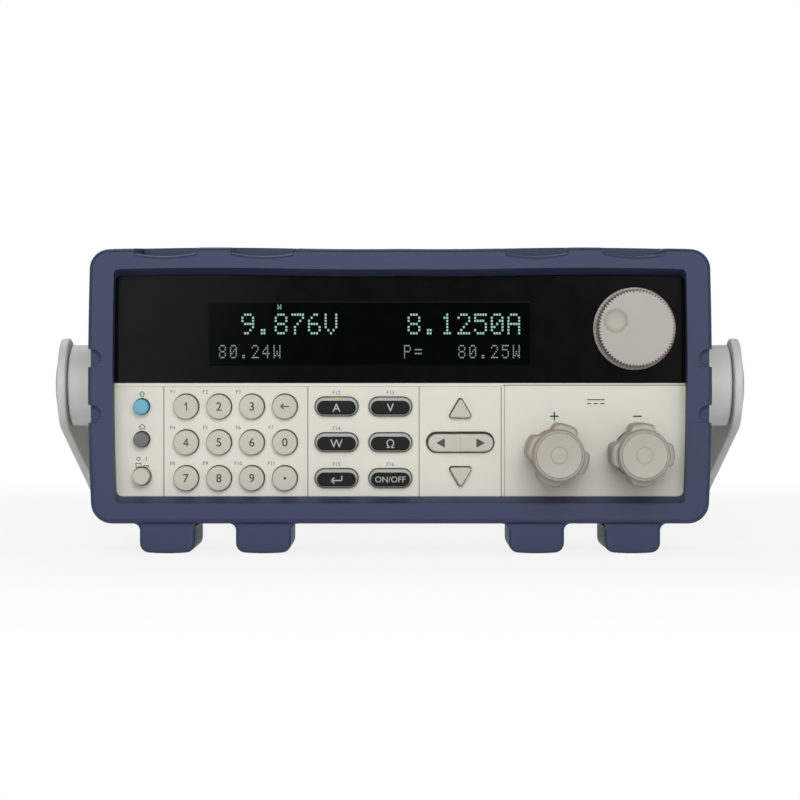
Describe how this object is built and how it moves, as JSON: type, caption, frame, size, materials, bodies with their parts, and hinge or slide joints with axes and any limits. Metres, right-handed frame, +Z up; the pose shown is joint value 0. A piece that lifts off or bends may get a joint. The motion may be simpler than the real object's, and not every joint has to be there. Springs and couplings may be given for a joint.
{
  "type": "dc electronic load",
  "caption": "Half-rack bench load with dot-matrix display, keypad, tuning knob and screw terminals, framed by soft bumpers, with a swinging carry handle.",
  "frame": {"origin": "middle of the instrument's footprint, on the surface that its feet stand on", "axes": "+Z up, the front panel faces -Y, +X to the right seen from the front"},
  "size_m": [0.263, 0.3936, 0.1088],
  "materials": {
    "slate_bumper": "moulded slate-blue elastomer, satin",
    "ivory_plastic": "fine-textured ivory ABS",
    "black_acrylic": "polished black acrylic",
    "display_glass": "dark display glass",
    "key_rubber": "warm grey silicone, satin",
    "pill_plastic": "translucent light grey plastic with dark cap",
    "blue_plastic": "sky-blue moulded plastic",
    "dark_grey_plastic": "dark grey moulded plastic",
    "knob_plastic": "warm grey moulded plastic, knurled",
    "terminal_plastic": "warm grey moulded plastic, satin",
    "red_plastic": "red moulded plastic",
    "black_gloss": "black moulded plastic",
    "black_plastic": "black moulded plastic",
    "green_plastic": "green moulded plastic",
    "handle_plastic": "light warm grey moulded plastic",
    "case_paint": "light warm grey powder coat",
    "rear_paint": "light grey powder coat",
    "zinc_plated_steel": "zinc-plated sheet",
    "plain_steel": "nickel-plated steel",
    "stud_brass": "plated brass",
    "sink_aluminium": "extruded aluminium",
    "circuit_board": "green solder mask",
    "laminated_core": "varnished laminations and winding"
  },
  "bodies": {
    "instrument": {"chassis_tray": "zinc_plated_steel", "top_cover": "case_paint", "rear_panel": "rear_paint", "front_bumper": "slate_bumper", "rear_bumper": "slate_bumper", "front_bezel": "ivory_plastic", "display_lens": "black_acrylic", "display_module": "display_glass", "input_plate": "ivory_plastic", "keypad_mat": "key_rubber", "keypad_board": "circuit_board", "rotary_encoder": "plain_steel", "power_switch": "black_plastic", "positive_collar": "red_plastic", "negative_collar": "black_gloss", "terminal_studs": "stud_brass", "pivot_hubs": "handle_plastic", "pivot_screws": "plain_steel", "case_screws": "plain_steel", "heatsink": "sink_aluminium", "power_transistors": "black_plastic", "main_board": "circuit_board", "transformer": "laminated_core", "fan_frame": "black_plastic", "mains_inlet": "black_plastic", "interface_ports": "plain_steel", "sense_terminals": "green_plastic"},
    "handle": {"carry_handle": "handle_plastic"},
    "tuning": {"tuning_knob": "knob_plastic", "encoder_shaft": "plain_steel"},
    "positive_clamp": {"positive_washer": "plain_steel"},
    "negative_clamp": {"negative_washer": "plain_steel"},
    "positive_knob": {"positive_terminal_knob": "terminal_plastic"},
    "negative_knob": {"negative_terminal_knob": "terminal_plastic"},
    "fan": {"fan_rotor": "black_plastic"},
    "fuse": {"fuse_drawer": "black_plastic"},
    "shift_button": {"shift_button": "blue_plastic"},
    "local_button": {"local_button": "dark_grey_plastic"},
    "power_button": {"power_button": "key_rubber"},
    "up_key": {"up_key": "key_rubber"},
    "down_key": {"down_key": "key_rubber"},
    "left_right_rocker": {"left_right_rocker": "key_rubber"},
    "key_1": {"key_1": "key_rubber"},
    "key_2": {"key_2": "key_rubber"},
    "key_3": {"key_3": "key_rubber"},
    "key_escape": {"key_escape": "key_rubber"},
    "key_4": {"key_4": "key_rubber"},
    "key_5": {"key_5": "key_rubber"},
    "key_6": {"key_6": "key_rubber"},
    "key_0": {"key_0": "key_rubber"},
    "key_7": {"key_7": "key_rubber"},
    "key_8": {"key_8": "key_rubber"},
    "key_9": {"key_9": "key_rubber"},
    "key_point": {"key_point": "key_rubber"},
    "current_key": {"current_key": "pill_plastic"},
    "voltage_key": {"voltage_key": "pill_plastic"},
    "watt_key": {"watt_key": "pill_plastic"},
    "resistance_key": {"resistance_key": "pill_plastic"},
    "on_off_key": {"on_off_key": "pill_plastic"},
    "enter_key": {"enter_key": "pill_plastic"}
  },
  "joints": [
    {"name": "press_key_1", "type": "slide", "parent": "instrument", "child": "key_1", "axis": [0, 1, 0], "range_m": [0, 0.0012], "stiffness_N_per_m": 400},
    {"name": "press_key_2", "type": "slide", "parent": "instrument", "child": "key_2", "axis": [0, 1, 0], "range_m": [0, 0.0012], "stiffness_N_per_m": 400},
    {"name": "press_key_3", "type": "slide", "parent": "instrument", "child": "key_3", "axis": [0, 1, 0], "range_m": [0, 0.0012], "stiffness_N_per_m": 400},
    {"name": "press_key_escape", "type": "slide", "parent": "instrument", "child": "key_escape", "axis": [0, 1, 0], "range_m": [0, 0.0012], "stiffness_N_per_m": 400},
    {"name": "press_key_4", "type": "slide", "parent": "instrument", "child": "key_4", "axis": [0, 1, 0], "range_m": [0, 0.0012], "stiffness_N_per_m": 400},
    {"name": "press_key_5", "type": "slide", "parent": "instrument", "child": "key_5", "axis": [0, 1, 0], "range_m": [0, 0.0012], "stiffness_N_per_m": 400},
    {"name": "press_key_6", "type": "slide", "parent": "instrument", "child": "key_6", "axis": [0, 1, 0], "range_m": [0, 0.0012], "stiffness_N_per_m": 400},
    {"name": "press_key_0", "type": "slide", "parent": "instrument", "child": "key_0", "axis": [0, 1, 0], "range_m": [0, 0.0012], "stiffness_N_per_m": 400},
    {"name": "press_key_7", "type": "slide", "parent": "instrument", "child": "key_7", "axis": [0, 1, 0], "range_m": [0, 0.0012], "stiffness_N_per_m": 400},
    {"name": "press_key_8", "type": "slide", "parent": "instrument", "child": "key_8", "axis": [0, 1, 0], "range_m": [0, 0.0012], "stiffness_N_per_m": 400},
    {"name": "press_key_9", "type": "slide", "parent": "instrument", "child": "key_9", "axis": [0, 1, 0], "range_m": [0, 0.0012], "stiffness_N_per_m": 400},
    {"name": "press_key_point", "type": "slide", "parent": "instrument", "child": "key_point", "axis": [0, 1, 0], "range_m": [0, 0.0012], "stiffness_N_per_m": 400},
    {"name": "press_current_key", "type": "slide", "parent": "instrument", "child": "current_key", "axis": [0, 1, 0], "range_m": [0, 0.0012], "stiffness_N_per_m": 400},
    {"name": "press_voltage_key", "type": "slide", "parent": "instrument", "child": "voltage_key", "axis": [0, 1, 0], "range_m": [0, 0.0012], "stiffness_N_per_m": 400},
    {"name": "press_watt_key", "type": "slide", "parent": "instrument", "child": "watt_key", "axis": [0, 1, 0], "range_m": [0, 0.0012], "stiffness_N_per_m": 400},
    {"name": "press_resistance_key", "type": "slide", "parent": "instrument", "child": "resistance_key", "axis": [0, 1, 0], "range_m": [0, 0.0012], "stiffness_N_per_m": 400},
    {"name": "press_on_off_key", "type": "slide", "parent": "instrument", "child": "on_off_key", "axis": [0, 1, 0], "range_m": [0, 0.0012], "stiffness_N_per_m": 400},
    {"name": "press_enter_key", "type": "slide", "parent": "instrument", "child": "enter_key", "axis": [0, 1, 0], "range_m": [0, 0.0012], "stiffness_N_per_m": 400},
    {"name": "press_shift_button", "type": "slide", "parent": "instrument", "child": "shift_button", "axis": [0, 1, 0], "range_m": [0, 0.0012], "stiffness_N_per_m": 400},
    {"name": "press_local_button", "type": "slide", "parent": "instrument", "child": "local_button", "axis": [0, 1, 0], "range_m": [0, 0.0012], "stiffness_N_per_m": 400},
    {"name": "press_up_key", "type": "slide", "parent": "instrument", "child": "up_key", "axis": [0, 1, 0], "range_m": [0, 0.0012], "stiffness_N_per_m": 400},
    {"name": "press_down_key", "type": "slide", "parent": "instrument", "child": "down_key", "axis": [0, 1, 0], "range_m": [0, 0.0012], "stiffness_N_per_m": 400},
    {"name": "press_power_button", "type": "slide", "parent": "instrument", "child": "power_button", "axis": [0, 1, 0], "range_m": [0, 0.003], "stiffness_N_per_m": 300},
    {"name": "rock_left_right", "type": "hinge", "parent": "instrument", "child": "left_right_rocker", "pos_m": [0.0216, -0.1616, 0.03955], "axis": [0, 0, 1], "range_deg": [-4, 4], "stiffness_Nm_per_rad": 0.04},
    {"name": "tuning_turn", "type": "hinge", "parent": "instrument", "child": "tuning", "pos_m": [0.0841, -0.1668, 0.0803], "axis": [0, -1, 0], "continuous": true},
    {"name": "handle_swing", "type": "hinge", "parent": "instrument", "child": "handle", "pos_m": [0, -0.1068, 0.05975], "axis": [-1, 0, 0], "range_deg": [0, 318]},
    {"name": "positive_clamp_slide", "type": "slide", "parent": "instrument", "child": "positive_clamp", "axis": [0, -1, 0], "range_m": [0, 0.004]},
    {"name": "positive_knob_turn", "type": "hinge", "parent": "positive_clamp", "child": "positive_knob", "pos_m": [0.0554, -0.1768, 0.0356], "axis": [0, -1, 0], "range_deg": [0, 1440]},
    {"name": "negative_clamp_slide", "type": "slide", "parent": "instrument", "child": "negative_clamp", "axis": [0, -1, 0], "range_m": [0, 0.004]},
    {"name": "negative_knob_turn", "type": "hinge", "parent": "negative_clamp", "child": "negative_knob", "pos_m": [0.0852, -0.1768, 0.0356], "axis": [0, -1, 0], "range_deg": [0, 1440]},
    {"name": "fan_spin", "type": "hinge", "parent": "instrument", "child": "fan", "pos_m": [0.0595, 0.1728, 0.05975], "axis": [0, 1, 0], "continuous": true},
    {"name": "fuse_drawer_slide", "type": "slide", "parent": "instrument", "child": "fuse", "axis": [0, 1, 0], "range_m": [0, 0.02]}
  ],
  "couplings": [
    {"joint": "positive_knob_turn", "follows": "positive_clamp_slide", "rad_per_m": 6283.2},
    {"joint": "negative_knob_turn", "follows": "negative_clamp_slide", "rad_per_m": 6283.2}
  ]
}
